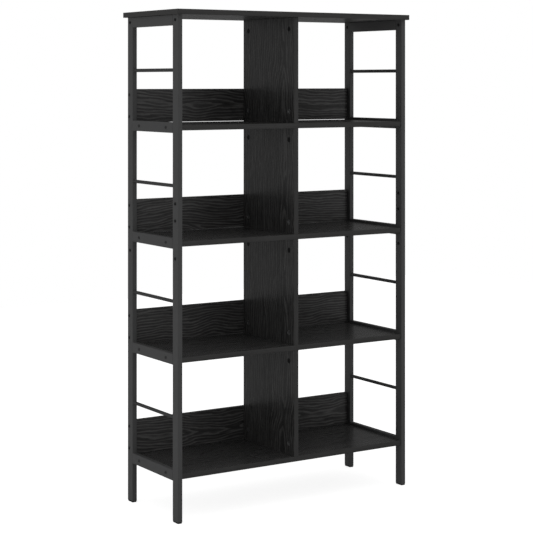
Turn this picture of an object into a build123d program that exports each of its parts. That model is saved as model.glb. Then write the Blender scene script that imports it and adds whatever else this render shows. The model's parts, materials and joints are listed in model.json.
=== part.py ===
from build123d import *
import os

os.makedirs("parts", exist_ok=True)

# Freestanding bookcase: two welded side frames of rectangular steel tube carry
# four full-width shelves, a top board, four upright dividers and four low back
# panels.  Millimetres, +Z up, front towards -Y, origin on the floor at the
# middle of the overall footprint.

# ---------------------------------------------------------------- main sizes
overall_width = 814.0
overall_depth = 327.0
overall_height = 1440.0
board_thickness = 15.0
board_edge_radius = 0.6

frame_width = 800.0
frame_depth = 300.0
frame_front_y = -152.5
frame_back_y = frame_front_y + frame_depth

tube_width = 15.0
tube_height = 30.0
tube_wall = 1.5
tube_corner_radius = 1.5
rod_diameter = 10.0

leg_top_z = overall_height - board_thickness
leg_joint_z = 796.5
shelf_pitch = 325.5
bottom_rail_z = 115.5
shelf_count = 4
rod_above_rail = 147.0

# boards
board_inset = 3.0
back_inset = 1.0
shelf_above_rail_bottom = 7.5
panel_height = 98.5
panel_gap = 1.5

# feet
foot_height = 4.0
foot_inset = 0.8
foot_plug_depth = 22.0
foot_plug_wall = 2.0
foot_corner_radius = 1.2
foot_edge_chamfer = 0.6
plug_clearance = 0.1

# fasteners
cam_diameter = 15.0
cam_depth = 12.5
cam_edge_distance = 34.0
cam_inset_y = 28.0
cam_clearance = 0.1
cam_slot_length = 9.0
cam_slot_width = 1.6
cam_slot_depth = 1.2
cam_cover_thickness = 1.2
cam_cover_chamfer = 0.3
cam_cover_rib_clearance = 0.2
cam_pocket_reach = 9.0
cam_pocket_back = 4.0
dowel_diameter = 6.0
dowel_bore = 8.0
dowel_neck_diameter = 3.5
dowel_neck_start = 2.5
dowel_neck_end = 5.0
single_dowel_seat = 10.5
single_dowel_clearance = 0.5
bolt_shank = 5.0
bolt_length = 50.0
bolt_head_diameter = 9.0
bolt_head_height = 1.8
bolt_head_rounding = 0.9
bolt_socket_radius = 1.9
bolt_socket_depth = 1.3
bolt_bore = 5.2
bolt_bore_depth = 37.0
screw_shank = 4.0
screw_length = 40.0
screw_bore = 4.2
screw_bore_depth = 27.0
joint_shank = 6.0
joint_bore = 6.2
shelf_bolt_inset_y = 70.0
panel_screw_offset_z = 32.0
sleeve_wall = 1.5
sleeve_bottom_z = 712.0
sleeve_top_z = 916.0
front_joint_heights = [740.0, 846.0, 894.0]
back_joint_heights = [740.0]
top_bolt_z = leg_top_z - tube_height / 2
top_plug_height = 40.0
plug_screw_shift = 8.0
plug_screw_bite = 10.0
plug_screw_head_diameter = 7.5
plug_screw_head_height = 2.5
overshoot = 1.0

# ---------------------------------------------------------- derived positions
half_width = frame_width / 2
inner_x = half_width - tube_width
leg_x = half_width - tube_width / 2
front_leg_y = frame_front_y + tube_height / 2
back_leg_y = frame_back_y - tube_height / 2
rail_front_y = frame_front_y + tube_height
rail_back_y = frame_back_y - tube_height
rail_length = rail_back_y - rail_front_y
frame_middle_y = (frame_front_y + frame_back_y) / 2
shelf_front_y = frame_front_y + board_inset
shelf_back_y = frame_back_y - back_inset
panel_front_y = shelf_back_y - board_thickness
panel_middle_y = panel_front_y + board_thickness / 2
divider_depth = panel_front_y - shelf_front_y
divider_height = shelf_pitch - board_thickness
cam_ys = [shelf_front_y + cam_inset_y, panel_front_y - cam_inset_y]
shelf_bolt_ys = [frame_front_y + shelf_bolt_inset_y, frame_back_y - shelf_bolt_inset_y]

rail_bottoms = [bottom_rail_z + shelf_pitch * level for level in range(shelf_count)]
shelf_bottoms = [z + shelf_above_rail_bottom for z in rail_bottoms]
shelf_tops = [z + board_thickness for z in shelf_bottoms]
rail_middles = [z + tube_height / 2 for z in rail_bottoms]
rod_heights = [z + tube_height + rod_above_rail for z in rail_bottoms]
panel_bottoms = [z + panel_gap for z in shelf_tops]
panel_middles = [z + panel_height / 2 for z in panel_bottoms]
sides = [("left", -1), ("right", 1)]


# -------------------------------------------------------------- small helpers
def block(x_size, y_size, z_size, x, y, z):
    """Box centred on x and y, standing on z."""
    return Pos(x, y, z + z_size / 2) * Box(x_size, y_size, z_size)


def bar_x(diameter, x_start, x_end, y, z):
    """Round bar along X."""
    length = x_end - x_start
    middle = (x_start + x_end) / 2
    return Pos(middle, y, z) * Rot(0, 90, 0) * Cylinder(diameter / 2, length)


def bar_y(diameter, y_start, y_end, x, z):
    """Round bar along Y."""
    length = y_end - y_start
    middle = (y_start + y_end) / 2
    return Pos(x, middle, z) * Rot(90, 0, 0) * Cylinder(diameter / 2, length)


def bar_z(diameter, z_start, z_end, x, y):
    """Round bar along Z."""
    return Pos(x, y, (z_start + z_end) / 2) * Cylinder(diameter / 2, z_end - z_start)


def save(name, shape):
    """Write one node of the assembly."""
    shape.label = name
    export_step(shape, "parts/" + name + ".step")


def save_group(name, solids):
    """Write a node made of several separate, identical pieces."""
    group = Compound(children=solids)
    group.label = name
    export_step(group, "parts/" + name + ".step")


def board(x_size, y_size, z_size, x, y, z):
    """Veneered board with softly broken edges."""
    plain = block(x_size, y_size, z_size, x, y, z)
    return chamfer(plain.edges(), board_edge_radius)


# ---------------------------------------------------------------- side frames
def upright_tube(z_start, z_end, x, y):
    """Vertical rectangular tube, open at both ends."""
    length = z_end - z_start
    outer = block(tube_width, tube_height, length, x, y, z_start)
    outer = fillet(outer.edges().filter_by(Axis.Z), tube_corner_radius)
    bore_x = tube_width - 2 * tube_wall
    bore_y = tube_height - 2 * tube_wall
    return outer - block(bore_x, bore_y, length, x, y, z_start)


def rail_tube(x, z_start):
    """Front-to-back rectangular tube between the two legs of a side frame."""
    outer = block(tube_width, rail_length, tube_height, x, frame_middle_y, z_start)
    outer = fillet(outer.edges().filter_by(Axis.Y), tube_corner_radius)
    bore_x = tube_width - 2 * tube_wall
    bore_z = tube_height - 2 * tube_wall
    hollow = block(bore_x, rail_length, bore_z, x, frame_middle_y, z_start + tube_wall)
    return outer - hollow


def cross_bores(shape, diameter, x, spots):
    """Drill holes along X right through a tube at the given (y, z) spots."""
    for y, z in spots:
        shape = shape - bar_x(diameter, x - tube_width, x + tube_width, y, z)
    return shape


def panel_screw_spots(z_low, z_high):
    """Panel screw centres (y, z) on a back leg between two heights."""
    spots = []
    for middle in panel_middles:
        for offset in (-panel_screw_offset_z, panel_screw_offset_z):
            if z_low < middle + offset < z_high:
                spots.append((panel_middle_y, middle + offset))
    return spots


def joint_spots(y, heights, z_low, z_high):
    """Joint bolt centres (y, z) on a leg between two heights."""
    return [(y, z) for z in heights if z_low < z < z_high]


def make_leg(side_sign, y, heights, z_start, z_end, is_back, is_upper):
    """One half of a leg with its drilled holes."""
    x = side_sign * leg_x
    leg = upright_tube(z_start, z_end, x, y)
    leg = cross_bores(leg, joint_bore, x, joint_spots(y, heights, z_start, z_end))
    if is_upper:
        leg = cross_bores(leg, joint_bore, x, [(y, top_bolt_z)])
    if is_back:
        leg = cross_bores(leg, screw_bore, x, panel_screw_spots(z_start, z_end))
    return leg


def make_foot(x, y):
    """Plastic end cap: a thin pad with a hollow plug pushed into the leg."""
    pad_x = tube_width - 2 * foot_inset
    pad_y = tube_height - 2 * foot_inset
    pad = block(pad_x, pad_y, foot_height, x, y, 0)
    pad = fillet(pad.edges().filter_by(Axis.Z), foot_corner_radius)
    pad = chamfer(pad.faces().sort_by(Axis.Z)[0].edges(), foot_edge_chamfer)
    plug_x = tube_width - 2 * tube_wall - 2 * plug_clearance
    plug_y = tube_height - 2 * tube_wall - 2 * plug_clearance
    plug = block(plug_x, plug_y, foot_plug_depth, x, y, foot_height)
    hollow_x = plug_x - 2 * foot_plug_wall
    hollow_y = plug_y - 2 * foot_plug_wall
    hollow = block(hollow_x, hollow_y, foot_plug_depth, x, y, foot_height + foot_plug_wall)
    return pad + (plug - hollow)


def make_sleeve(x, y, heights, is_back):
    """Steel sleeve hidden inside the leg where its two halves meet."""
    size_x = tube_width - 2 * tube_wall - 2 * plug_clearance
    size_y = tube_height - 2 * tube_wall - 2 * plug_clearance
    length = sleeve_top_z - sleeve_bottom_z
    sleeve = block(size_x, size_y, length, x, y, sleeve_bottom_z)
    hollow_x = size_x - 2 * sleeve_wall
    hollow_y = size_y - 2 * sleeve_wall
    hollow = block(hollow_x, hollow_y, length, x, y, sleeve_bottom_z)
    sleeve = sleeve - hollow
    spots = joint_spots(y, heights, sleeve_bottom_z, sleeve_top_z)
    sleeve = cross_bores(sleeve, joint_shank, x, spots)
    if is_back:
        spots = panel_screw_spots(sleeve_bottom_z, sleeve_top_z)
        sleeve = cross_bores(sleeve, screw_bore, x, spots)
    return sleeve


corners = [
    ("front", front_leg_y, front_joint_heights, False),
    ("back", back_leg_y, back_joint_heights, True),
]
sleeves = []
for side, sign in sides:
    for place, y, heights, is_back in corners:
        lower = make_leg(sign, y, heights, foot_height, leg_joint_z, is_back, False)
        upper = make_leg(sign, y, heights, leg_joint_z, leg_top_z, is_back, True)
        save(f"leg_{place}_{side}_lower", lower)
        save(f"leg_{place}_{side}_upper", upper)
        save(f"foot_{place}_{side}", make_foot(sign * leg_x, y))
        save(f"leg_sleeve_{place}_{side}", make_sleeve(sign * leg_x, y, heights, is_back))

for side, sign in sides:
    for level in range(shelf_count):
        rail = rail_tube(sign * leg_x, rail_bottoms[level])
        spots = [(y, rail_middles[level]) for y in shelf_bolt_ys]
        rail = cross_bores(rail, bolt_bore, sign * leg_x, spots)
        save(f"side_rail_{side}_{level + 1}", rail)
        rod = bar_y(rod_diameter, rail_front_y, rail_back_y, sign * leg_x, rod_heights[level])
        save(f"side_rod_{side}_{level + 1}", rod)
    save(f"side_rail_{side}_top", rail_tube(sign * leg_x, leg_top_z - tube_height))


# --------------------------------------------------------------------- boards
def make_shelf(level):
    """Full-width shelf between the side frames."""
    z = shelf_bottoms[level]
    depth = shelf_back_y - shelf_front_y
    middle_y = (shelf_front_y + shelf_back_y) / 2
    shelf = board(2 * inner_x, depth, board_thickness, 0, middle_y, z)
    bolt_z = rail_middles[level]
    for sign in (-1, 1):
        for y in shelf_bolt_ys:
            ends = sorted([sign * (inner_x - bolt_bore_depth), sign * (inner_x + overshoot)])
            shelf = shelf - bar_x(bolt_bore, ends[0], ends[1], y, bolt_z)
    for y in cam_ys:
        top_z = z + board_thickness
        low_z = z - overshoot
        if level == 0:
            low_z = top_z - single_dowel_seat - single_dowel_clearance
        shelf = shelf - bar_z(dowel_diameter, low_z, top_z + overshoot, 0, y)
    return shelf


def make_divider(level):
    """Upright divider drilled for two cam fittings at the top and two below."""
    z = shelf_tops[level]
    middle_y = (shelf_front_y + panel_front_y) / 2
    divider = board(board_thickness, divider_depth, divider_height, 0, middle_y, z)
    face_x = -board_thickness / 2
    for y in cam_ys:
        for cam_z in (z + cam_edge_distance, z + divider_height - cam_edge_distance):
            pocket = bar_x(cam_diameter, face_x - overshoot, face_x + cam_depth, y, cam_z)
            divider = divider - pocket
        low_end = z + cam_edge_distance
        high_end = z + divider_height - cam_edge_distance
        divider = divider - bar_z(dowel_bore, z - overshoot, low_end, 0, y)
        divider = divider - bar_z(dowel_bore, high_end, z + divider_height + overshoot, 0, y)
    return divider


def make_panel(level):
    """Low back panel between the back legs."""
    z = panel_bottoms[level]
    panel = board(2 * inner_x, board_thickness, panel_height, 0, panel_middle_y, z)
    for sign in (-1, 1):
        for offset in (-panel_screw_offset_z, panel_screw_offset_z):
            ends = sorted([sign * (inner_x - screw_bore_depth), sign * (inner_x + overshoot)])
            spot_z = panel_middles[level] + offset
            panel = panel - bar_x(screw_bore, ends[0], ends[1], panel_middle_y, spot_z)
    return panel


for level in range(shelf_count):
    save(f"shelf_{level + 1}", make_shelf(level))
    save(f"divider_{level + 1}", make_divider(level))
    save(f"back_panel_{level + 1}", make_panel(level))

top_board = board(overall_width, overall_depth, board_thickness, 0, 0, leg_top_z)
plug_screw_spots = []
for side, sign in sides:
    plug_screw_spots.append((sign * leg_x, front_leg_y + plug_screw_shift))
    plug_screw_spots.append((sign * leg_x, back_leg_y - plug_screw_shift))
board_hole_top = leg_top_z + single_dowel_seat + single_dowel_clearance
for x, y in plug_screw_spots:
    top_board = top_board - bar_z(screw_bore, leg_top_z - overshoot, board_hole_top, x, y)
for y in cam_ys:
    top_board = top_board - bar_z(dowel_diameter, leg_top_z - overshoot, board_hole_top, 0, y)
save("top_board", top_board)


# ------------------------------------------------------------------ fasteners
def socket_head():
    """Low round head with a hexagon socket, standing on the XY plane."""
    head = Cylinder(bolt_head_diameter / 2, bolt_head_height)
    head = fillet(head.faces().sort_by(Axis.Z)[-1].edges(), bolt_head_rounding)
    socket = extrude(RegularPolygon(bolt_socket_radius, 6), bolt_socket_depth)
    head = head - Pos(0, 0, bolt_head_height / 2 - bolt_socket_depth) * socket
    return Pos(0, 0, bolt_head_height / 2) * head


def socket_bolt(x_face, y, z, outward, shank_diameter, length):
    """Round-headed bolt; the head sits on x_face and the shank runs inwards."""
    shank = Pos(0, 0, -length / 2) * Cylinder(shank_diameter / 2, length)
    return Pos(x_face, y, z) * Rot(0, 90 * outward, 0) * (socket_head() + shank)


def tapped_nut(x_face, y, z, outward):
    """Flat-headed nut facing into the bay; the joint bolt ends in it."""
    return Pos(x_face, y, z) * Rot(0, 90 * outward, 0) * socket_head()


shelf_bolts = []
panel_screws = []
joint_bolts = []
joint_nuts = []
top_bolts = []
top_nuts = []
for side, sign in sides:
    outer_face = sign * half_width
    inner_face = sign * inner_x
    for level in range(shelf_count):
        for y in shelf_bolt_ys:
            z = rail_middles[level]
            shelf_bolts.append(socket_bolt(outer_face, y, z, sign, bolt_shank, bolt_length))
        for offset in (-panel_screw_offset_z, panel_screw_offset_z):
            z = panel_middles[level] + offset
            screw = socket_bolt(outer_face, panel_middle_y, z, sign, screw_shank, screw_length)
            panel_screws.append(screw)
    for place, y, heights, is_back in corners:
        for z in heights:
            joint_bolts.append(socket_bolt(outer_face, y, z, sign, joint_shank, tube_width))
            joint_nuts.append(tapped_nut(inner_face, y, z, -sign))
        top_bolts.append(socket_bolt(outer_face, y, top_bolt_z, sign, joint_shank, tube_width))
        top_nuts.append(tapped_nut(inner_face, y, top_bolt_z, -sign))
save_group("shelf_bolts", shelf_bolts)
save_group("panel_screws", panel_screws)
save_group("joint_bolts", joint_bolts)
save_group("joint_bolt_nuts", joint_nuts)
save_group("top_bolts", top_bolts)
save_group("top_bolt_nuts", top_nuts)


def cross(length, width, height):
    """Upright cross centred on the XY plane."""
    return Box(length, width, height) + Box(width, length, height)


def cam_lock(y, z, points_up):
    """Zinc cam disc with a cross slot in its face and a pocket for the dowel.

    The upper cams sit a little deeper, under their covers.
    """
    depth = cam_depth - cam_cover_thickness if points_up else cam_depth
    disc = Cylinder(cam_diameter / 2 - cam_clearance, depth)
    slot = cross(cam_slot_length, cam_slot_width, 2 * cam_slot_depth)
    disc = disc - Pos(0, 0, depth / 2) * slot
    inner_end_x = -board_thickness / 2 + cam_depth
    disc = Pos(inner_end_x - depth / 2, y, z) * Rot(0, -90, 0) * disc
    direction = 1 if points_up else -1
    start = z - cam_pocket_back * direction
    finish = z + cam_pocket_reach * direction
    pocket = bar_z(dowel_bore, min(start, finish), max(start, finish), 0, y)
    return disc - pocket


def cam_cover(y, z):
    """Thin black cover, flush with the divider, clipped into an upper cam's cross slot."""
    plate = Cylinder(cam_diameter / 2 - cam_clearance, cam_cover_thickness)
    plate = chamfer(plate.faces().sort_by(Axis.Z)[-1].edges(), cam_cover_chamfer)
    rib_length = cam_slot_length - 2 * cam_cover_rib_clearance
    rib_width = cam_slot_width - 2 * cam_cover_rib_clearance
    rib_depth = cam_slot_depth - cam_cover_rib_clearance
    rib = cross(rib_length, rib_width, rib_depth)
    plate = plate + Pos(0, 0, -cam_cover_thickness / 2 - rib_depth / 2) * rib
    return Pos(-board_thickness / 2 + cam_cover_thickness / 2, y, z) * Rot(0, -90, 0) * plate


cams = []
cam_covers = []
for level in range(shelf_count):
    for y in cam_ys:
        cams.append(cam_lock(y, shelf_tops[level] + cam_edge_distance, False))
        high = shelf_tops[level] + divider_height - cam_edge_distance
        cams.append(cam_lock(y, high, True))
        cam_covers.append(cam_cover(y, high))
save_group("cam_locks", cams)
save_group("cam_covers", cam_covers)


def cam_dowel(z_low, z_high, y, heads):
    """Steel dowel with a narrow neck under each head gripped by a cam."""
    dowel = bar_z(dowel_diameter, z_low, z_high, 0, y)
    for end, inward in heads:
        near = end + dowel_neck_start * inward
        far = end + dowel_neck_end * inward
        ring = bar_z(dowel_diameter + overshoot, min(near, far), max(near, far), 0, y)
        core = bar_z(dowel_neck_diameter, min(near, far), max(near, far), 0, y)
        dowel = dowel - (ring - core)
    return dowel


double_dowels = []
single_dowels = []
for y in cam_ys:
    for level in range(1, shelf_count):
        low = shelf_bottoms[level] - cam_edge_distance
        high = shelf_tops[level] + cam_edge_distance
        double_dowels.append(cam_dowel(low, high, y, [(low, 1), (high, -1)]))
    low = shelf_tops[0] - single_dowel_seat
    high = shelf_tops[0] + cam_edge_distance
    single_dowels.append(cam_dowel(low, high, y, [(high, -1)]))
    low = leg_top_z - cam_edge_distance
    high = leg_top_z + single_dowel_seat
    single_dowels.append(cam_dowel(low, high, y, [(low, 1)]))
save_group("cam_dowels_double", double_dowels)
save_group("cam_dowels_single", single_dowels)


def top_plug(x, y, screw_y):
    """Plastic block in the open top of a leg; it carries the top board."""
    size_x = tube_width - 2 * tube_wall - 2 * plug_clearance
    size_y = tube_height - 2 * tube_wall - 2 * plug_clearance
    base_z = leg_top_z - top_plug_height
    plug = block(size_x, size_y, top_plug_height, x, y, base_z)
    plug = plug - bar_x(joint_bore, x - tube_width, x + tube_width, y, top_bolt_z)
    return plug - bar_z(screw_bore, base_z - overshoot, leg_top_z + overshoot, x, screw_y)


def plug_screw(x, y):
    """Wood screw running up through a plug into the top board."""
    base_z = leg_top_z - top_plug_height
    shank = bar_z(screw_shank, base_z, leg_top_z + plug_screw_bite, x, y)
    head = bar_z(plug_screw_head_diameter, base_z - plug_screw_head_height, base_z, x, y)
    return shank + head


plugs = []
plug_screws = []
for x, screw_y in plug_screw_spots:
    leg_y = front_leg_y if screw_y < 0 else back_leg_y
    plugs.append(top_plug(x, leg_y, screw_y))
    plug_screws.append(plug_screw(x, screw_y))
save_group("top_plugs", plugs)
save_group("top_plug_screws", plug_screws)
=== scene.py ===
"""Looks of the freestanding bookcase: black tube side frames that carry black oak boards.

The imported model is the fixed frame.  Boards, cam fittings, feet and weld beads are
modelled around it.  Tubes, rods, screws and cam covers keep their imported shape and
get a finish.  Everything is in metres, +Z up, with the front towards -Y.
"""

import json
import logging
import math
from collections.abc import Callable, Iterable
from dataclasses import dataclass, field
from enum import Enum

import bmesh
import bpy
from mathutils import Matrix, Vector


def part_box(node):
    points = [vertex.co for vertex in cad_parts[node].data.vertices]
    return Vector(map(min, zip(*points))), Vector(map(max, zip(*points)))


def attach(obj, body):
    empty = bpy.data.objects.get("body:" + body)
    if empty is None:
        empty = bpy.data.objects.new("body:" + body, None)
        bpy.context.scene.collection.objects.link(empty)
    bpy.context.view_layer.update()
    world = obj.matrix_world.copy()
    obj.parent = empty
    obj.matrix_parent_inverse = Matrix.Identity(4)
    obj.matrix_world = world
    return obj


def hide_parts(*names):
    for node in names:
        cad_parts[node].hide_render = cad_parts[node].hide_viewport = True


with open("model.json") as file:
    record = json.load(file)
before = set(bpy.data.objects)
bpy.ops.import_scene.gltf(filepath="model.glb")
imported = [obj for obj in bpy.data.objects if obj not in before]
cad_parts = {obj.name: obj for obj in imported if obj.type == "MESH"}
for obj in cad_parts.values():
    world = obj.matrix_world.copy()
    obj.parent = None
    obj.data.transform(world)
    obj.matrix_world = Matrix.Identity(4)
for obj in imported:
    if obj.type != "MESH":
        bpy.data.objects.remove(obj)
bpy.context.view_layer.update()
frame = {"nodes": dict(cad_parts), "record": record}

log = logging.getLogger("bookcase")

Socket = bpy.types.NodeSocket
Feed = float | tuple[float, ...] | Socket
MM = 0.001
BODY = "root"
OAK_TINT = (1.0, 0.985, 0.97)


# ------------------------------------------------------------------ shader nodes
class ShaderSheet:
    """The node tree of one material, with short calls that add and join its nodes."""

    def __init__(self, name: str) -> None:
        """Starts a material with a Principled shader joined to its output.

        Args:
            name: Name of the material.
        """
        self.material = bpy.data.materials.new(name)
        self.material.use_nodes = True
        self.tree = self.material.node_tree
        self.tree.nodes.clear()
        self.shader = self.tree.nodes.new("ShaderNodeBsdfPrincipled")
        output = self.tree.nodes.new("ShaderNodeOutputMaterial")
        self.tree.links.new(self.shader.outputs["BSDF"], output.inputs["Surface"])

    def feed(self, socket: Socket, value: Feed) -> None:
        """Joins a socket to another, or sets its own value.

        Args:
            socket: Input that takes the value.
            value: An output socket, a number or a tuple of numbers.
        """
        if isinstance(value, Socket):
            self.tree.links.new(value, socket)
        else:
            socket.default_value = value

    def node(self, kind: str, feeds: dict[str, Feed], **settings: object) -> bpy.types.Node:
        """Adds one node.

        Args:
            kind: Type of the node without its ShaderNode prefix.
            feeds: Value or socket for each named input.
            **settings: Properties of the node itself.

        Returns:
            The new node.
        """
        made = self.tree.nodes.new("ShaderNode" + kind)
        for name, value in settings.items():
            setattr(made, name, value)
        for name, value in feeds.items():
            self.feed(made.inputs[name], value)
        return made

    def sums(self, operation: str, *values: Feed, clamp: bool = False) -> Socket:
        """Works out one sum.

        Args:
            operation: Name of the Math node's operation.
            *values: Its one to three inputs.
            clamp: Whether the result is held between 0 and 1.

        Returns:
            The result's socket.
        """
        made = self.node("Math", {}, operation=operation, use_clamp=clamp)
        for place, value in enumerate(values):
            self.feed(made.inputs[place], value)
        return made.outputs[0]

    def point(self, x: Feed, y: Feed, z: Feed) -> Socket:
        """Puts three numbers together as one point."""
        return self.node("CombineXYZ", {"X": x, "Y": y, "Z": z}).outputs[0]

    def place(self) -> Socket:
        """Gives the place on the object, in metres."""
        return self.node("TexCoord", {}).outputs["Object"]

    def stretched(self, vector: Socket, scales: tuple[float, float, float]) -> Socket:
        """Multiplies each part of a point by its own scale."""
        made = self.node("VectorMath", {}, operation="MULTIPLY")
        self.feed(made.inputs[0], vector)
        self.feed(made.inputs[1], scales)
        return made.outputs[0]

    def noise(self, vector: Socket, scale: float, detail: float = 2.0) -> Socket:
        """Gives soft noise between 0 and 1.

        Args:
            vector: Point that the noise is read at.
            scale: Cycles for each unit of the point.
            detail: Number of finer layers.

        Returns:
            The noise's socket.
        """
        feeds = {"Vector": vector, "Scale": scale, "Detail": detail}
        return self.node("TexNoise", feeds).outputs["Fac"]

    def profile(self, value: Socket, stops: Iterable[tuple[float, float]]) -> Socket:
        """Reads a grey curve.

        Args:
            value: Place along the curve, from 0 to 1.
            stops: Places and their grey levels.

        Returns:
            The grey level's socket.
        """
        made = self.node("ValToRGB", {"Fac": value})
        ramp = made.color_ramp
        stops = list(stops)
        while len(ramp.elements) < len(stops):
            ramp.elements.new(1.0)
        for element, (position, grey) in zip(ramp.elements, stops):
            element.position = position
            element.color = (grey, grey, grey, 1.0)
        return made.outputs["Color"]

    def between(self, share: Feed, low: float, high: float) -> Socket:
        """Goes from low to high as share goes from 0 to 1."""
        return self.sums("MULTIPLY_ADD", share, high - low, low)

    def grey(self, level: Socket, tint: tuple[float, float, float]) -> Socket:
        """Turns a level into a colour with a faint tint."""
        made = self.node("VectorMath", {}, operation="SCALE")
        self.feed(made.inputs[0], tint)
        self.feed(made.inputs["Scale"], level)
        return made.outputs[0]

    def relief(self, height: Socket, strength: float, distance: float) -> None:
        """Raises the surface by a height between 0 and 1.

        Args:
            height: The height's socket.
            strength: Share of the relief that shows.
            distance: Height of a full step in metres.
        """
        feeds = {"Height": height, "Strength": strength, "Distance": distance}
        made = self.node("Bump", feeds)
        self.feed(self.shader.inputs["Normal"], made.outputs[0])

    def surface(self, feeds: dict[str, Feed]) -> bpy.types.Material:
        """Feeds the Principled shader and gives the finished material."""
        for name, value in feeds.items():
            self.feed(self.shader.inputs[name], value)
        return self.material


# ---------------------------------------------------------------------- finishes
class GrainRun(Enum):
    """Axes along the grain, across it and through the board."""

    SHELF = ("X", "Y", "Z")
    BACK_PANEL = ("X", "Z", "Y")
    DIVIDER = ("Z", "Y", "X")


@dataclass(frozen=True)
class BlackOakFoil:
    """Embossed black oak foil with cathedral figure, fibres and pores."""

    run: GrainRun
    dark: float
    light: float
    heart_at: float
    fibre_share: float = 0.35
    ring_spacing: float = 0.0085
    ring_taper: float = 0.03
    heart_depth: float = 0.010
    leaf_half_width: float = 0.122
    sheet_shift: float = 2.3
    specular_level: float = 0.28
    roughness: float = 0.24
    fibre_scale: tuple[float, float, float] = (11.0, 620.0, 620.0)
    streak_scale: tuple[float, float, float] = (3.0, 75.0, 75.0)
    pore_scale: tuple[float, float, float] = (48.0, 1300.0, 1300.0)
    pore_darkening: float = 0.30
    pore_roughness: float = 0.10
    emboss_strength: float = 0.40
    emboss_depth: float = 0.00005
    wander_scale: float = 3.2
    wander: float = 0.035
    swell_scale: tuple[float, float, float] = (6.5, 7.0, 3.0)
    swell_rings: float = 4.5
    fine_scale: tuple[float, float, float] = (14.0, 90.0, 6.0)
    fine_rings: float = 1.5

    def make(self) -> bpy.types.Material:
        """Builds the material.

        Returns:
            The foil for boards whose grain runs this way.
        """
        sheet = ShaderSheet("black_oak_" + self.run.name.lower())
        parts = sheet.node("SeparateXYZ", {"Vector": sheet.place()}).outputs
        along, across, through = (parts[axis] for axis in self.run.value)
        rings = self.rings(sheet, along, across, through)
        grain = sheet.point(along, across, through)
        fibres = sheet.noise(sheet.stretched(grain, self.fibre_scale), 1.0, 4.0)
        streaks = sheet.noise(sheet.stretched(grain, self.streak_scale), 1.0, 3.0)
        pores = sheet.noise(sheet.stretched(grain, self.pore_scale), 1.0, 2.0)
        pores = sheet.profile(pores, [(0.50, 0.0), (0.58, 1.0)])
        early_wood = sheet.between(rings, 1.0, 0.15)
        pores = sheet.sums("MULTIPLY", pores, early_wood)
        share = self.fibre_share
        tone = sheet.sums("MULTIPLY", rings, sheet.between(streaks, 0.3, 1.7))
        tone = sheet.sums("ADD", tone, sheet.between(fibres, -share, share))
        tone = sheet.sums("MULTIPLY_ADD", pores, -self.pore_darkening, tone, clamp=True)
        level = sheet.between(tone, self.dark, self.light)
        height = sheet.sums("MULTIPLY_ADD", rings, 0.45, sheet.between(fibres, 0.0, 0.35))
        height = sheet.sums("MULTIPLY_ADD", pores, -0.5, height)
        sheet.relief(height, self.emboss_strength, self.emboss_depth)
        gloss = sheet.between(pores, self.roughness, self.roughness + self.pore_roughness)
        gloss = sheet.sums("MULTIPLY_ADD", fibres, 0.05, gloss)
        return sheet.surface({
            "Base Color": sheet.grey(level, OAK_TINT),
            "Roughness": gloss,
            "Specular IOR Level": self.specular_level,
        })

    def rings(self, sheet: ShaderSheet, along: Socket, across: Socket, through: Socket) -> Socket:
        """Draws the growth rings as a flat-sawn leaf shows them.

        Args:
            sheet: Material being built.
            along: Distance along the grain.
            across: Distance across the grain.
            through: Distance through the board, which also picks the part of the sheet.

        Returns:
            Ring tone, dark in the early wood and light in the late wood.
        """
        shift = sheet.sums("MULTIPLY_ADD", through, self.sheet_shift, -self.heart_at)
        placed = sheet.sums("ADD", across, shift)
        broad = sheet.noise(sheet.point(along, placed, shift), self.wander_scale, 1.0)
        wander = sheet.between(broad, -self.wander, self.wander)
        placed = sheet.sums("ADD", placed, wander)
        off_heart = sheet.sums("PINGPONG", placed, self.leaf_half_width)
        radius = sheet.sums("MULTIPLY", off_heart, off_heart)
        radius = sheet.sums("SQRT", sheet.sums("ADD", radius, self.heart_depth ** 2))
        radius = sheet.sums("MULTIPLY_ADD", along, self.ring_taper, radius)
        spot = sheet.point(along, placed, shift)
        swell = sheet.noise(sheet.stretched(spot, self.swell_scale), 1.0, 1.0)
        fine = sheet.noise(sheet.stretched(spot, self.fine_scale), 1.0, 3.0)
        count = sheet.sums("DIVIDE", radius, self.ring_spacing)
        count = sheet.sums("MULTIPLY_ADD", swell, self.swell_rings, count)
        count = sheet.sums("MULTIPLY_ADD", fine, self.fine_rings, count)
        turn = sheet.sums("FRACT", count)
        stops = [(0.0, 0.30), (0.40, 0.40), (0.68, 1.0), (0.82, 0.90), (0.90, 0.42), (1.0, 0.30)]
        return sheet.profile(turn, stops)


@dataclass(frozen=True)
class OakEdgeBand:
    """Thin band glued round the edges of a board, with plain straight grain."""

    run: GrainRun
    base: float = 0.054
    specular_level: float = 0.30
    roughness: float = 0.38

    def make(self) -> bpy.types.Material:
        """Builds the material.

        Returns:
            The edge band for boards whose grain runs this way.
        """
        sheet = ShaderSheet("edge_band_" + self.run.name.lower())
        parts = sheet.node("SeparateXYZ", {"Vector": sheet.place()}).outputs
        along, across, through = (parts[axis] for axis in self.run.value)
        grain = sheet.point(along, across, through)
        streaks = sheet.noise(sheet.stretched(grain, (7.0, 420.0, 420.0)), 1.0, 3.0)
        cloud = sheet.noise(grain, 14.0, 2.0)
        level = sheet.between(streaks, 0.62 * self.base, 1.38 * self.base)
        level = sheet.sums("MULTIPLY", level, sheet.between(cloud, 0.85, 1.15))
        sheet.relief(streaks, 0.25, 0.00008)
        return sheet.surface({
            "Base Color": sheet.grey(level, OAK_TINT),
            "Roughness": sheet.between(streaks, self.roughness - 0.05, self.roughness + 0.05),
            "Specular IOR Level": self.specular_level,
        })


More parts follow.
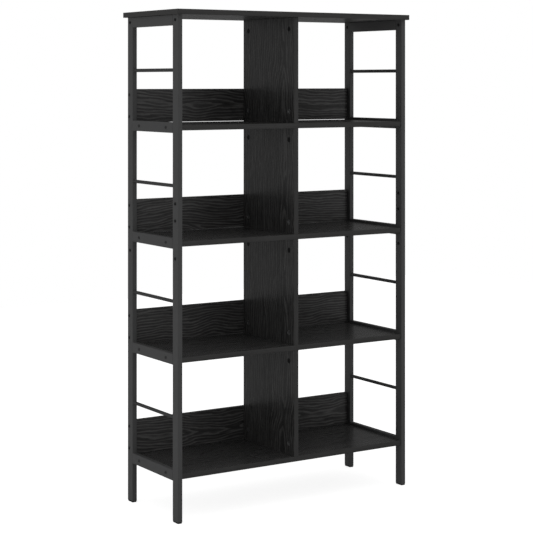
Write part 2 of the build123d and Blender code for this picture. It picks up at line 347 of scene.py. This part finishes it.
@dataclass(frozen=True)
class PowderCoat:
    """Satin black powder coat with a fine orange peel."""

    name: str = "powder_coat_black"
    base: float = 0.098
    roughness: float = 0.42

    def make(self) -> bpy.types.Material:
        """Builds the coat for tubes, rods and weld beads."""
        sheet = ShaderSheet(self.name)
        place = sheet.place()
        peel = sheet.noise(place, 750.0, 2.0)
        haze = sheet.noise(place, 11.0, 3.0)
        specks = sheet.profile(sheet.noise(place, 2600.0, 0.0), [(0.60, 0.0), (0.70, 1.0)])
        level = sheet.between(haze, 0.92 * self.base, 1.08 * self.base)
        level = sheet.sums("MULTIPLY_ADD", specks, 0.10 * self.base, level)
        gloss = sheet.between(haze, self.roughness - 0.04, self.roughness + 0.04)
        sheet.relief(peel, 0.40, 0.00015)
        return sheet.surface({
            "Base Color": sheet.grey(level, (0.99, 0.995, 1.0)),
            "Roughness": sheet.sums("MULTIPLY_ADD", peel, 0.06, gloss),
            "Specular IOR Level": 0.30,
        })


@dataclass(frozen=True)
class MouldedPlastic:
    """Matt moulded black plastic with a fine spark-eroded texture."""

    base: float = 0.008
    roughness: float = 0.55

    def make(self) -> bpy.types.Material:
        """Builds the plastic for feet, top plugs and cam covers."""
        sheet = ShaderSheet("moulded_black_plastic")
        place = sheet.place()
        stipple = sheet.noise(place, 1800.0, 1.0)
        cloud = sheet.noise(place, 60.0, 2.0)
        level = sheet.between(cloud, 0.85 * self.base, 1.15 * self.base)
        sheet.relief(stipple, 0.35, 0.00008)
        return sheet.surface({
            "Base Color": sheet.grey(level, (1.0, 1.0, 1.0)),
            "Roughness": sheet.between(stipple, self.roughness - 0.06, self.roughness + 0.06),
            "Specular IOR Level": 0.12,
        })


@dataclass(frozen=True)
class BlackenedScrew:
    """Black zinc on steel screws, faintly worn where a key has turned in them."""

    name: str = "blackened_screw"
    base: float = 0.008
    roughness: float = 0.45

    def make(self) -> bpy.types.Material:
        """Builds the finish of bolts, nuts and panel screws."""
        sheet = ShaderSheet(self.name)
        place = sheet.place()
        turned = sheet.noise(sheet.stretched(place, (2400.0, 500.0, 500.0)), 1.0, 2.0)
        wear = sheet.profile(sheet.noise(place, 700.0, 3.0), [(0.62, 0.0), (0.78, 1.0)])
        level = sheet.between(turned, 0.8 * self.base, 1.2 * self.base)
        level = sheet.sums("MULTIPLY_ADD", wear, 1.5 * self.base, level)
        sheet.relief(turned, 0.20, 0.00005)
        return sheet.surface({
            "Base Color": sheet.grey(level, (1.0, 1.0, 1.0)),
            "Roughness": sheet.between(turned, self.roughness - 0.05, self.roughness + 0.08),
            "Specular IOR Level": 0.30,
        })


@dataclass(frozen=True)
class DullZinc:
    """Die-cast and plated zinc, dull and slightly blotched."""

    base: float = 0.26
    roughness: float = 0.48

    def make(self) -> bpy.types.Material:
        """Builds the finish of cams, dowels and leg sleeves."""
        sheet = ShaderSheet("dull_zinc")
        place = sheet.place()
        blotch = sheet.noise(place, 260.0, 3.0)
        grit = sheet.noise(place, 2200.0, 1.0)
        level = sheet.between(blotch, 0.8 * self.base, 1.2 * self.base)
        sheet.relief(grit, 0.25, 0.00006)
        return sheet.surface({
            "Base Color": sheet.grey(level, (0.98, 0.99, 1.0)),
            "Metallic": 1.0,
            "Roughness": sheet.between(blotch, self.roughness - 0.08, self.roughness + 0.08),
        })


class Finishes:
    """Every finish of the bookcase, made once."""

    def __init__(self) -> None:
        """Makes the materials."""
        self.foils = {
            GrainRun.SHELF: BlackOakFoil(
                GrainRun.SHELF, dark=0.024, light=0.098, heart_at=0.0,
                fibre_share=0.30, ring_spacing=0.0105,
            ).make(),
            GrainRun.BACK_PANEL: BlackOakFoil(
                GrainRun.BACK_PANEL, dark=0.014, light=0.148, heart_at=0.4915
            ).make(),
            GrainRun.DIVIDER: BlackOakFoil(
                GrainRun.DIVIDER, dark=0.009, light=0.086, heart_at=-0.112,
                fibre_share=0.30, ring_spacing=0.0095,
            ).make(),
        }
        self.bands = {run: OakEdgeBand(run).make() for run in GrainRun}
        self.coat = PowderCoat().make()
        # The rods get a darker copy of the powder coat: painted shade, since they are the same
        # black steel as the legs.
        self.rod_coat_painted_shade = PowderCoat("powder_coat_rods_painted_shade", 0.065, 0.46).make()
        self.plastic = MouldedPlastic().make()
        self.screw = BlackenedScrew().make()
        self.rail_screw = BlackenedScrew("coated_screw", 0.055, 0.42).make()
        self.zinc = DullZinc().make()

    def for_node(self, node: str, slot: str) -> bpy.types.Material:
        """Picks the finish of a CAD node.

        Args:
            node: Name of the node.
            slot: Its material slot in the record.

        Returns:
            The material.
        """
        if node == "shelf_bolts":
            return self.rail_screw
        # The rods take the darker copy of the coat, which paints shade on them.
        if node.startswith("side_rod"):
            return self.rod_coat_painted_shade
        return {
            "black_steel": self.coat,
            "black_oak": self.foils[GrainRun.SHELF],
            "black_plastic": self.plastic,
            "black_screw": self.screw,
            "zinc": self.zinc,
        }[slot]


# --------------------------------------------------------------------- modelling
class Workbench:
    """Modelling steps that every piece shares."""

    @staticmethod
    def clear() -> None:
        """Leaves nothing selected."""
        if bpy.context.object and bpy.context.object.mode != "OBJECT":
            bpy.ops.object.mode_set(mode="OBJECT")
        bpy.ops.object.select_all(action="DESELECT")

    @staticmethod
    def hold(piece: bpy.types.Object) -> None:
        """Makes one piece the only selected and active one."""
        Workbench.clear()
        piece.select_set(True)
        bpy.context.view_layer.objects.active = piece

    @staticmethod
    def named(name: str) -> bpy.types.Object:
        """Names the new active primitive and moves its place into its mesh.

        Args:
            name: Name of the piece.

        Returns:
            The piece, at the origin, unturned and unscaled.
        """
        piece = bpy.context.object
        piece.name = name
        piece.data.name = name
        bpy.ops.object.transform_apply(location=True, rotation=True, scale=True)
        return piece

    @staticmethod
    def block(name: str, low: Vector, high: Vector) -> bpy.types.Object:
        """Starts a piece as a block between two corners."""
        Workbench.clear()
        bpy.ops.mesh.primitive_cube_add(size=1.0, location=(low + high) / 2, scale=high - low)
        return Workbench.named(name)

    @staticmethod
    def round_bar(
        name: str, radius: float, start: Vector, end: Vector, sides: int
    ) -> bpy.types.Object:
        """Starts a piece as a round bar between two points.

        Args:
            name: Name of the piece.
            radius: Radius of the bar.
            start: Middle of its first end.
            end: Middle of its other end.
            sides: Number of sides round it.

        Returns:
            The bar.
        """
        Workbench.clear()
        run = end - start
        turn = run.to_track_quat("Z", "Y").to_euler()
        bpy.ops.mesh.primitive_cylinder_add(
            vertices=sides, radius=radius, depth=run.length,
            location=(start + end) / 2, rotation=turn,
        )
        return Workbench.named(name)

    @staticmethod
    def edit(
        piece: bpy.types.Object,
        faces: Callable[[bmesh.types.BMFace], bool] | None = None,
        edges: Callable[[bmesh.types.BMEdge], bool] | None = None,
    ) -> int:
        """Opens a piece in edit mode with the chosen faces or edges selected.

        Args:
            piece: Piece to edit.
            faces: Test that picks faces; all faces where neither test is given.
            edges: Test that picks edges.

        Returns:
            The number of faces or edges that are selected.
        """
        Workbench.hold(piece)
        bpy.ops.object.mode_set(mode="EDIT")
        mesh = bmesh.from_edit_mesh(piece.data)
        kind = "EDGE" if edges else "FACE"
        bpy.ops.mesh.select_mode(type=kind)
        bpy.ops.mesh.select_all(action="DESELECT")
        items = mesh.edges if edges else mesh.faces
        test = edges or faces or (lambda item: True)
        count = 0
        for item in items:
            if kind == "FACE":
                item.normal_update()
            if test(item):
                item.select_set(True)
                count += 1
        mesh.select_flush_mode()
        bmesh.update_edit_mesh(piece.data)
        return count

    @staticmethod
    def close() -> None:
        """Goes back to object mode."""
        bpy.ops.object.mode_set(mode="OBJECT")

    @staticmethod
    def cut(piece: bpy.types.Object, at: Vector, normal: Vector) -> None:
        """Splits every face of a piece along one plane."""
        Workbench.edit(piece)
        bpy.ops.mesh.bisect(plane_co=at, plane_no=normal)
        Workbench.close()

    @staticmethod
    def apply(piece: bpy.types.Object, kind: str, **settings: object) -> None:
        """Adds a modifier to a piece and applies it.

        Args:
            piece: Piece that takes the modifier.
            kind: Type of the modifier.
            **settings: Its settings.
        """
        Workbench.hold(piece)
        modifier = piece.modifiers.new(kind.lower(), kind)
        for name, value in settings.items():
            setattr(modifier, name, value)
        bpy.ops.object.modifier_apply(modifier=modifier.name)

    @staticmethod
    def carve(piece: bpy.types.Object, cutter: bpy.types.Object) -> None:
        """Takes a cutter's shape out of a piece and removes the cutter."""
        Workbench.apply(piece, "BOOLEAN", operation="DIFFERENCE", object=cutter, solver="EXACT")
        bpy.data.objects.remove(cutter)

    @staticmethod
    def smooth(piece: bpy.types.Object, angle: float = 35.0) -> None:
        """Shades a piece smooth except at edges sharper than an angle in degrees."""
        Workbench.hold(piece)
        bpy.ops.object.shade_smooth_by_angle(angle=math.radians(angle))

    @staticmethod
    def copies(
        model: bpy.types.Object, name: str, places: Iterable[Matrix]
    ) -> bpy.types.Object:
        """Copies a model to each place and joins the copies as one piece.

        Args:
            model: Model made once; it is removed.
            name: Name of the joined piece.
            places: Where each copy goes.

        Returns:
            The joined piece.
        """
        made = []
        for place in places:
            copy = model.copy()
            copy.data = model.data.copy()
            copy.data.transform(place)
            bpy.context.collection.objects.link(copy)
            made.append(copy)
        bpy.data.objects.remove(model)
        Workbench.hold(made[0])
        for copy in made[1:]:
            copy.select_set(True)
        if len(made) > 1:
            bpy.ops.object.join()
        joined = made[0]
        joined.name = name
        joined.data.name = name
        return joined


def fit_out(
    piece: bpy.types.Object,
    finishes: Iterable[bpy.types.Material],
    nodes: Iterable[str] = (),
) -> None:
    """Gives a new piece its finish, its body and the nodes that it stands for.

    Args:
        piece: The finished piece.
        finishes: Its materials in order.
        nodes: CAD nodes that it replaces.
    """
    piece.data.materials.clear()
    for finish in finishes:
        piece.data.materials.append(finish)
    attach(piece, BODY)
    if nodes:
        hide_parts(*nodes)
    log.info("%s: %d faces, stands for %s", piece.name, len(piece.data.polygons), list(nodes))


# ------------------------------------------------------------------------ boards
@dataclass
class Fittings:
    """Places of the cam fittings, read from the frame."""

    radius: float = 7.4 * MM
    pocket_radius: float = 7.5 * MM
    levels: int = 4
    ys: list[float] = field(init=False)
    edge_distance: float = field(init=False)
    depth: float = field(init=False)
    face_x: float = field(init=False)

    def __post_init__(self) -> None:
        """Reads the places from the cam and divider nodes."""
        low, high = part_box("cam_locks")
        divider_low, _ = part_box("divider_1")
        self.ys = [low.y + self.radius, high.y - self.radius]
        self.edge_distance = low.z + self.radius - divider_low.z
        self.depth = high.x - low.x
        self.face_x = low.x

    def heights(self, level: int) -> tuple[float, float]:
        """Gives the heights of the lower and upper cams of one divider."""
        low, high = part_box(f"divider_{level}")
        return low.z + self.edge_distance, high.z - self.edge_distance


@dataclass
class Board:
    """A foiled board with edge bands and softly broken edges."""

    node: str
    run: GrainRun
    finishes: Finishes
    band: float = 1.0 * MM
    edge_radius: float = 0.6 * MM
    edge_steps: int = 3
    low: Vector = field(init=False)
    high: Vector = field(init=False)

    def __post_init__(self) -> None:
        """Reads the board's corners from the frame."""
        self.low, self.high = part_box(self.node)

    def edged_axes(self) -> list[int]:
        """Gives the axes whose ends carry an edge band."""
        through = "XYZ".index(self.run.value[2])
        return [axis for axis in range(3) if axis != through]

    def build(self) -> bpy.types.Object:
        """Builds the board's mesh.

        Returns:
            The board with its band joints cut and its edges rounded.
        """
        board = Workbench.block(self.node + "_board", self.low, self.high)
        Workbench.apply(
            board, "BEVEL", width=self.edge_radius, segments=self.edge_steps, limit_method="ANGLE"
        )
        for axis in self.edged_axes():
            normal = Vector([float(axis == place) for place in range(3)])
            for corner, inwards in ((self.low, self.band), (self.high, -self.band)):
                Workbench.cut(board, corner + normal * inwards, normal)
        return board

    def dress(self, board: bpy.types.Object) -> None:
        """Puts the foil on the faces and the band round the edges.

        Args:
            board: The board's mesh.
        """
        Workbench.smooth(board)
        skins = [self.finishes.foils[self.run], self.finishes.bands[self.run]]
        fit_out(board, skins, [self.node])
        axes = self.edged_axes()
        for face in board.data.polygons:
            spot = face.center
            inside = all(
                self.low[axis] + self.band < spot[axis] < self.high[axis] - self.band
                for axis in axes
            )
            face.material_index = 0 if inside else 1

    def make(self) -> None:
        """Builds and dresses the board."""
        self.dress(self.build())


@dataclass
class Divider(Board):
    """An upright board with pockets for four cams in its left face."""

    level: int = 1
    fittings: Fittings = field(default_factory=Fittings)
    cutter_overshoot: float = 5.0 * MM
    pocket_sides: int = 48

    def build(self) -> bpy.types.Object:
        """Builds the board and sinks the cam pockets.

        Returns:
            The divider's mesh.
        """
        board = super().build()
        face_x = self.fittings.face_x
        for y in self.fittings.ys:
            for z in self.fittings.heights(self.level):
                start = Vector((face_x - self.cutter_overshoot, y, z))
                end = Vector((face_x + self.fittings.depth, y, z))
                radius = self.fittings.pocket_radius
                cutter = Workbench.round_bar(
                    "pocket_cutter", radius, start, end, self.pocket_sides
                )
                Workbench.carve(board, cutter)
        return board


# -------------------------------------------------------------------- small parts
@dataclass
class CamLocks:
    """Die-cast cams with a raised rim, a cross slot and an arrow."""

    fittings: Fittings
    finishes: Finishes
    rim: float = 0.9 * MM
    dish: float = 0.25 * MM
    slot_length: float = 9.0 * MM
    slot_width: float = 1.6 * MM
    slot_depth: float = 1.2 * MM
    cover: float = 1.2 * MM
    disc_sides: int = 48
    edge_softening: float = 0.12 * MM
    arrow_radius: float = 1.0 * MM
    arrow_depth: float = 0.4 * MM
    arrow_from_rim: float = 1.1 * MM
    arrow_reach_share: float = 0.72

    def build_one(self) -> bpy.types.Object:
        """Builds a cam whose face looks along -X, with the middle of its face at the origin."""
        depth = self.fittings.depth - self.cover
        start = Vector((0.0, 0.0, 0.0))
        end = Vector((depth, 0.0, 0.0))
        cam = Workbench.round_bar("cam", self.fittings.radius, start, end, self.disc_sides)
        Workbench.edit(cam, faces=lambda face: face.normal.x < -0.9)
        bpy.ops.mesh.inset(thickness=self.rim, depth=0.0)
        bpy.ops.mesh.inset(thickness=self.dish, depth=-self.dish)
        Workbench.close()
        self.carve_slot(cam)
        self.carve_arrow(cam)
        Workbench.apply(
            cam, "BEVEL", width=self.edge_softening, segments=2,
            limit_method="ANGLE", angle_limit=0.9,
        )
        Workbench.smooth(cam)
        return cam

    def carve_slot(self, cam: bpy.types.Object) -> None:
        """Sinks the cross slot into a cam's face."""
        depth = self.dish + self.slot_depth
        arms = ((self.slot_length, self.slot_width), (self.slot_width, self.slot_length))
        for length_y, length_z in arms:
            low = Vector((-MM, -length_y / 2, -length_z / 2))
            high = Vector((depth, length_y / 2, length_z / 2))
            Workbench.carve(cam, Workbench.block("slot_cutter", low, high))

    def carve_arrow(self, cam: bpy.types.Object) -> None:
        """Sinks the small arrow that shows which way the cam faces."""
        reach = self.fittings.radius - self.rim - self.arrow_from_rim
        side_step = reach * self.arrow_reach_share
        start = Vector((-MM, side_step, side_step))
        end = Vector((self.dish + self.arrow_depth, side_step, side_step))
        Workbench.carve(cam, Workbench.round_bar("arrow_cutter", self.arrow_radius, start, end, 3))

    def make(self) -> None:
        """Builds all the cams: the lower ones flush, the upper ones under their covers."""
        places = []
        for level in range(1, self.fittings.levels + 1):
            low_z, high_z = self.fittings.heights(level)
            for y in self.fittings.ys:
                face_x = self.fittings.face_x
                places.append(Matrix.Translation((face_x, y, low_z)))
                places.append(Matrix.Translation((face_x + self.cover, y, high_z)))
        cams = Workbench.copies(self.build_one(), "cam_lock_discs", places)
        fit_out(cams, [self.finishes.zinc], ["cam_locks"])


@dataclass
class Foot:
    """Plastic end cap: a rounded pad under the leg and a hollow plug inside it."""

    node: str
    finishes: Finishes
    pad_height: float = 4.0 * MM
    corner_radius: float = 1.2 * MM
    sole_radius: float = 0.8 * MM
    plug_inset: float = 0.8 * MM
    plug_wall: float = 2.0 * MM
    plug_floor: float = 2.0 * MM

    def make(self) -> None:
        """Builds and dresses the foot."""
        low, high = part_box(self.node)
        top = Vector((high.x, high.y, low.z + self.pad_height))
        foot = Workbench.block(self.node + "_cap", low, top)
        Workbench.edit(foot, edges=lambda edge: abs(edge.verts[0].co.z - edge.verts[1].co.z) > MM)
        bpy.ops.mesh.bevel(offset=self.corner_radius, segments=4, affect="EDGES")
        Workbench.close()
        sole = low.z + 0.01 * MM
        Workbench.edit(foot, edges=lambda edge: all(vert.co.z < sole for vert in edge.verts))
        bpy.ops.mesh.bevel(offset=self.sole_radius, segments=3, affect="EDGES")
        Workbench.close()
        Workbench.edit(foot, faces=lambda face: face.normal.z > 0.9)
        bpy.ops.mesh.inset(thickness=self.plug_inset, depth=0.0)
        rise = high.z - top.z
        bpy.ops.mesh.extrude_region_move(TRANSFORM_OT_translate={"value": (0, 0, rise)})
        bpy.ops.mesh.inset(thickness=self.plug_wall, depth=0.0)
        sink = self.plug_floor - rise
        bpy.ops.mesh.extrude_region_move(TRANSFORM_OT_translate={"value": (0, 0, sink)})
        Workbench.close()
        Workbench.smooth(foot)
        fit_out(foot, [self.finishes.plastic], [self.node])


@dataclass
class WeldBeads:
    """Small coated weld beads where rails and rods meet the legs of one side frame."""

    side: str
    finishes: Finishes
    fittings: Fittings
    bead_radius: float = 1.5 * MM
    ripples: int = 9
    tube_wall_inset: float = 1.2 * MM
    end_taper: float = 0.45
    ripple_taper: float = 0.80
    ring_share: float = 0.85
    smooth_angle: float = 60.0

    def build_straight(self, length: float) -> bpy.types.Object:
        """Builds a rippled bead along X, centred on the origin.

        Args:
            length: Length of the bead.

        Returns:
            The bead.
        """
        half = Vector((length / 2, 0, 0))
        bead = Workbench.round_bar("bead", self.bead_radius, -half, half, 10)
        step = length / self.ripples
        for number in range(1, self.ripples):
            Workbench.cut(bead, Vector((number * step - length / 2, 0, 0)), Vector((1, 0, 0)))
        for number in range(0, self.ripples + 1, 2):
            at = number * step - length / 2
            scale = self.end_taper if number == 0 else self.ripple_taper
            self.pinch(bead, at, scale)
        self.pinch(bead, length / 2, self.end_taper)
        Workbench.smooth(bead, self.smooth_angle)
        return bead

    @staticmethod
    def pinch(bead: bpy.types.Object, at: float, scale: float) -> None:
        """Draws in the ring of a straight bead that lies at one X."""
        Workbench.edit(bead, edges=lambda edge: all(abs(v.co.x - at) < 1e-5 for v in edge.verts))
        bpy.ops.transform.resize(value=(1.0, scale, scale), center_override=(at, 0.0, 0.0))
        Workbench.close()

    def build_ring(self, rod_radius: float) -> bpy.types.Object:
        """Builds a ring of bead round a rod along Y, centred on the origin."""
        Workbench.clear()
        bpy.ops.mesh.primitive_torus_add(
            major_radius=rod_radius, minor_radius=self.bead_radius * self.ring_share,
            major_segments=36, minor_segments=8, rotation=(math.pi / 2, 0, 0),
        )
        ring = Workbench.named("ring_bead")
        Workbench.smooth(ring, self.smooth_angle)
        return ring

    def rails(self) -> list[str]:
        """Names the rail nodes of this side frame."""
        marks = [*range(1, self.fittings.levels + 1), "top"]
        return [f"side_rail_{self.side}_{mark}" for mark in marks]

    def make(self) -> None:
        """Builds the beads of every rail and rod end."""
        corners = []
        for rail in self.rails():
            low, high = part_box(rail)
            x = (low.x + high.x) / 2
            for y in (low.y, high.y):
                heights = [low.z] if rail.endswith("top") else [low.z, high.z]
                corners += [Matrix.Translation((x, y, z)) for z in heights]
        width = high.x - low.x - 2 * self.tube_wall_inset
        straight = self.build_straight(width)
        beads = Workbench.copies(straight, "weld_beads_rails_" + self.side, corners)
        fit_out(beads, [self.finishes.coat])
        ends = []
        for level in range(1, self.fittings.levels + 1):
            low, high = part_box(f"side_rod_{self.side}_{level}")
            middle = (low + high) / 2
            ends += [Matrix.Translation((middle.x, y, middle.z)) for y in (low.y, high.y)]
        radius = (high.z - low.z) / 2
        rings = Workbench.copies(self.build_ring(radius), "weld_beads_rods_" + self.side, ends)
        fit_out(rings, [self.finishes.coat])


# ------------------------------------------------------------------------ studio
@dataclass
class Studio:
    """Pale floor, soft light and the camera."""

    camera_place: tuple[float, float, float] = (-2.581, -4.0095, 1.239)
    camera_turn: float = -32.70
    lens: float = 107.0
    sensor: float = 36.0
    view_drop: float = 0.3486
    view_side: float = -0.0005
    floor_size: float = 8.0
    floor_glow: float = 0.85
    surround: float = 0.34
    far_side: tuple[float, float, float] = (0.54, 0.83, -0.14)
    far_side_share: float = 0.36
    fade_starts: float = 0.3
    fade_ends: float = 0.9
    backdrop: float = 1.0
    light_aim: tuple[float, float, float] = (0.0, 0.0, 0.75)

    def sky(self) -> None:
        """Makes an even, soft surround that looks white from the camera."""
        world = bpy.data.worlds.new("soft_surround")
        world.use_nodes = True
        tree = world.node_tree
        tree.nodes.clear()
        seen = tree.nodes.new("ShaderNodeBackground")
        seen.inputs["Strength"].default_value = self.backdrop
        lit = tree.nodes.new("ShaderNodeBackground")
        direction = tree.nodes.new("ShaderNodeTexCoord")
        towards = tree.nodes.new("ShaderNodeVectorMath")
        towards.operation = "DOT_PRODUCT"
        towards.inputs[1].default_value = self.far_side
        fade = tree.nodes.new("ShaderNodeMapRange")
        fade.interpolation_type = "SMOOTHSTEP"
        fade.inputs["From Min"].default_value = self.fade_starts
        fade.inputs["From Max"].default_value = self.fade_ends
        fade.inputs["To Min"].default_value = self.surround
        fade.inputs["To Max"].default_value = self.surround * self.far_side_share
        tree.links.new(direction.outputs["Generated"], towards.inputs[0])
        tree.links.new(towards.outputs["Value"], fade.inputs["Value"])
        tree.links.new(fade.outputs["Result"], lit.inputs["Strength"])
        for node in (seen, lit):
            node.inputs["Color"].default_value = (1, 1, 1, 1)
        path = tree.nodes.new("ShaderNodeLightPath")
        mix = tree.nodes.new("ShaderNodeMixShader")
        output = tree.nodes.new("ShaderNodeOutputWorld")
        tree.links.new(path.outputs["Is Camera Ray"], mix.inputs[0])
        tree.links.new(lit.outputs[0], mix.inputs[1])
        tree.links.new(seen.outputs[0], mix.inputs[2])
        tree.links.new(mix.outputs[0], output.inputs["Surface"])
        bpy.context.scene.world = world

    def floor(self) -> None:
        """Lays the pale floor."""
        Workbench.clear()
        bpy.ops.mesh.primitive_plane_add(size=self.floor_size, location=(0, 0, 0))
        floor = Workbench.named("floor")
        sheet = ShaderSheet("pale_floor")
        path = sheet.node("LightPath", {})
        glow = sheet.sums("MULTIPLY", path.outputs["Is Camera Ray"], self.floor_glow)
        sheet.surface({
            "Base Color": (0.86, 0.86, 0.86, 1.0),
            "Roughness": 0.9,
            "Specular IOR Level": 0.1,
            "Emission Color": (1.0, 1.0, 1.0, 1.0),
            "Emission Strength": glow,
        })
        floor.data.materials.append(sheet.material)

    def softbox(
        self, name: str, place: tuple[float, float, float], size: tuple[float, float], power: float
    ) -> None:
        """Hangs a large soft light that faces the middle of the bookcase.

        Args:
            name: Name of the light.
            place: Where it hangs.
            size: Its width and height.
            power: Its power in watts.
        """
        lamp = bpy.data.lights.new(name, "AREA")
        lamp.shape = "RECTANGLE"
        lamp.size, lamp.size_y = size
        lamp.energy = power
        light = bpy.data.objects.new(name, lamp)
        light.location = place
        aim = Vector(self.light_aim) - Vector(place)
        light.rotation_euler = aim.to_track_quat("-Z", "Y").to_euler()
        bpy.context.collection.objects.link(light)

    def camera(self) -> None:
        """Sets up the camera, level, with its view dropped."""
        lens = bpy.data.cameras.new("camera")
        lens.lens = self.lens
        lens.sensor_width = self.sensor
        lens.shift_x = self.view_side
        lens.shift_y = -self.view_drop
        lens.clip_end = 100.0
        camera = bpy.data.objects.new("camera", lens)
        camera.location = self.camera_place
        camera.rotation_euler = (math.pi / 2, 0, math.radians(self.camera_turn))
        bpy.context.collection.objects.link(camera)
        bpy.context.scene.camera = camera

    def make(self) -> None:
        """Builds the whole studio."""
        self.sky()
        self.floor()
        self.softbox("overhead_softbox", (-0.8, -1.2, 4.6), (4.0, 4.0), 14.0)
        self.softbox("left_softbox", (-5.0, -0.6, 0.9), (4.0, 1.8), 16.0)
        self.softbox("front_softbox", (3.6, -5.6, 1.6), (6.0, 4.0), 14.0)
        self.camera()
        bpy.context.scene.view_settings.view_transform = "Standard"


# -------------------------------------------------------------------------- main
def finish_kept_nodes(finishes: Finishes) -> None:
    """Gives every CAD node the finish of its material slot.

    Args:
        finishes: The bookcase's finishes.
    """
    for subpart in frame["record"]["subparts"]:
        finish = finishes.for_node(subpart["node"], subpart["material_slot"])
        for place in frame["nodes"][subpart["node"]].material_slots:
            place.material = finish


def main() -> None:
    """Builds the pieces in order."""
    logging.basicConfig(level=logging.INFO, format="%(name)s: %(message)s")
    finishes = Finishes()
    finish_kept_nodes(finishes)
    fittings = Fittings()
    Board("top_board", GrainRun.SHELF, finishes).make()
    for level in range(1, fittings.levels + 1):
        Board(f"shelf_{level}", GrainRun.SHELF, finishes).make()
        Board(f"back_panel_{level}", GrainRun.BACK_PANEL, finishes).make()
        Divider(
            f"divider_{level}", GrainRun.DIVIDER, finishes, level=level, fittings=fittings
        ).make()
    CamLocks(fittings, finishes).make()
    for side in ("left", "right"):
        WeldBeads(side, finishes, fittings).make()
        for place in ("front", "back"):
            Foot(f"foot_{place}_{side}", finishes).make()
    Studio().make()


if __name__ == "__main__":
    main()
